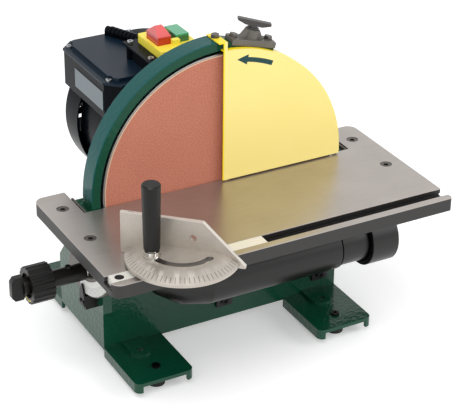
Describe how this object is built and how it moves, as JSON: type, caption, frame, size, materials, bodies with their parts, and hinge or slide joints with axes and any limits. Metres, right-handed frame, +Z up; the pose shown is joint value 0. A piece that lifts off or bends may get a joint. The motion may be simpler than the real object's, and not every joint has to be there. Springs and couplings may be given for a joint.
{
  "type": "benchtop disc sander",
  "caption": "Benchtop disc sander: cast base, half-round disc housing with guard and brake, induction motor, tilting ground table with mitre gauge, switch and dust outlet.",
  "frame": {"origin": "on the bench plane, under the middle of the machine's box", "axes": "+X to the operator's right along the table's width, +Y from the operator towards the motor, +Z up"},
  "size_m": [0.5016, 0.4544, 0.4075],
  "materials": {
    "green_paint": "hammered gloss enamel",
    "ground_iron": "ground and lightly polished",
    "cast_alloy": "satin cast",
    "bar_steel": "brushed",
    "bright_steel": "turned",
    "zinc_fasteners": "zinc plated",
    "black_screws": "black oxide",
    "motor_paint": "semi-gloss black",
    "black_plastic": "moulded",
    "yellow_plastic": "moulded gloss",
    "red_plastic": "moulded gloss",
    "green_plastic": "moulded gloss",
    "guard_paint": "gloss yellow enamel",
    "brake_iron": "plain cast",
    "brake_lining": "moulded lining",
    "abrasive": "coated abrasive cloth",
    "white_plate": "printed scale",
    "blank_plate": "blank satin plate",
    "winding_copper": "varnished winding",
    "can_white": "plastic can",
    "rubber_black": "moulded rubber"
  },
  "bodies": {
    "base": {"base_casting": "green_paint", "disc_housing": "green_paint", "trunnion_support_left": "green_paint", "trunnion_support_right": "green_paint", "guide_bolts": "bright_steel", "scale_pointer": "bright_steel", "motor_bearings": "bright_steel", "stator_core": "bright_steel", "brake_spring": "bright_steel", "housing_bolts": "zinc_fasteners", "motor_bolts": "zinc_fasteners", "lid_screws": "zinc_fasteners", "switch_screws": "zinc_fasteners", "support_bolts": "zinc_fasteners", "foot_screws": "black_screws", "ring_bolts": "black_screws", "chute_screws": "black_screws", "motor_shell": "motor_paint", "drive_end_shield": "motor_paint", "rear_shield": "motor_paint", "fan_cover": "motor_paint", "terminal_box": "motor_paint", "terminal_box_lid": "motor_paint", "switch_box": "black_plastic", "switch_lead": "black_plastic", "pointer_block": "black_plastic", "dust_chute": "black_plastic", "dust_outlet": "black_plastic", "switch_plate": "yellow_plastic", "disc_guard": "guard_paint", "brake_bracket": "brake_iron", "rating_plate": "blank_plate", "stator_windings": "winding_copper", "start_capacitor": "can_white", "rubber_feet": "rubber_black"},
    "disc": {"abrasive_disc": "abrasive", "disc_plate": "bright_steel", "disc_bolt": "zinc_fasteners", "motor_shaft": "bright_steel", "rotor_core": "bright_steel", "cooling_fan": "black_plastic"},
    "table": {"sanding_table": "ground_iron", "trunnion_left": "cast_alloy", "trunnion_right": "cast_alloy", "trunnion_screws": "black_screws", "angle_scale": "white_plate"},
    "tilt_drive": {"tilt_shaft": "bright_steel", "tilt_pinion": "bright_steel", "tilt_knob": "black_plastic"},
    "wing": {"lock_wing": "black_plastic"},
    "brake": {"brake_plunger": "brake_iron", "brake_pad": "brake_lining"},
    "stop": {"stop_button": "red_plastic"},
    "start": {"start_button": "green_plastic"},
    "gauge_bar": {"mitre_bar": "bar_steel", "mitre_pivot_pin": "bright_steel"},
    "gauge_head": {"mitre_head": "cast_alloy"},
    "gauge_clamp": {"clamp_stud": "bright_steel", "clamp_handle": "black_plastic"}
  },
  "joints": [
    {"name": "disc_spin", "type": "hinge", "parent": "base", "child": "disc", "pos_m": [0.03075, -0.0128, 0.218], "axis": [0, 1, 0], "continuous": true},
    {"name": "table_tilt", "type": "hinge", "parent": "base", "child": "table", "pos_m": [0.03075, -0.0128, 0.21], "axis": [1, 0, 0], "range_deg": [0, 45]},
    {"name": "tilt_turn", "type": "hinge", "parent": "base", "child": "tilt_drive", "pos_m": [-0.18925, -0.03059, 0.14359], "axis": [1, 0, 0], "range_deg": [0, 457.5]},
    {"name": "lock_turn", "type": "hinge", "parent": "tilt_drive", "child": "wing", "pos_m": [-0.24925, -0.03059, 0.14359], "axis": [1, 0, 0], "range_deg": [-90, 90]},
    {"name": "brake_press", "type": "slide", "parent": "base", "child": "brake", "axis": [-0.2504, 0, -0.9681], "range_m": [0, 0.003], "stiffness_N_per_m": 3000, "springref_m": -0.002, "deforming": ["brake_spring"]},
    {"name": "stop_press", "type": "slide", "parent": "base", "child": "stop", "axis": [0, 0, -1], "range_m": [0, 0.003], "stiffness_N_per_m": 400, "springref_m": -0.002},
    {"name": "start_press", "type": "slide", "parent": "base", "child": "start", "axis": [0, 0, -1], "range_m": [0, 0.003], "stiffness_N_per_m": 400, "springref_m": -0.002},
    {"name": "gauge_slide", "type": "slide", "parent": "table", "child": "gauge_bar", "axis": [1, 0, 0], "range_m": [-0.1, 0.18]},
    {"name": "gauge_swivel", "type": "hinge", "parent": "gauge_bar", "child": "gauge_head", "pos_m": [-0.09825, -0.1632, 0.21], "axis": [0, 0, 1], "range_deg": [-107, 13]},
    {"name": "clamp_turn", "type": "hinge", "parent": "gauge_bar", "child": "gauge_clamp", "pos_m": [-0.13575, -0.1632, 0.21], "axis": [0, 0, 1], "range_deg": [-180, 180]}
  ],
  "couplings": [
    {"joint": "tilt_turn", "follows": "table_tilt", "ratio": 10.167}
  ]
}
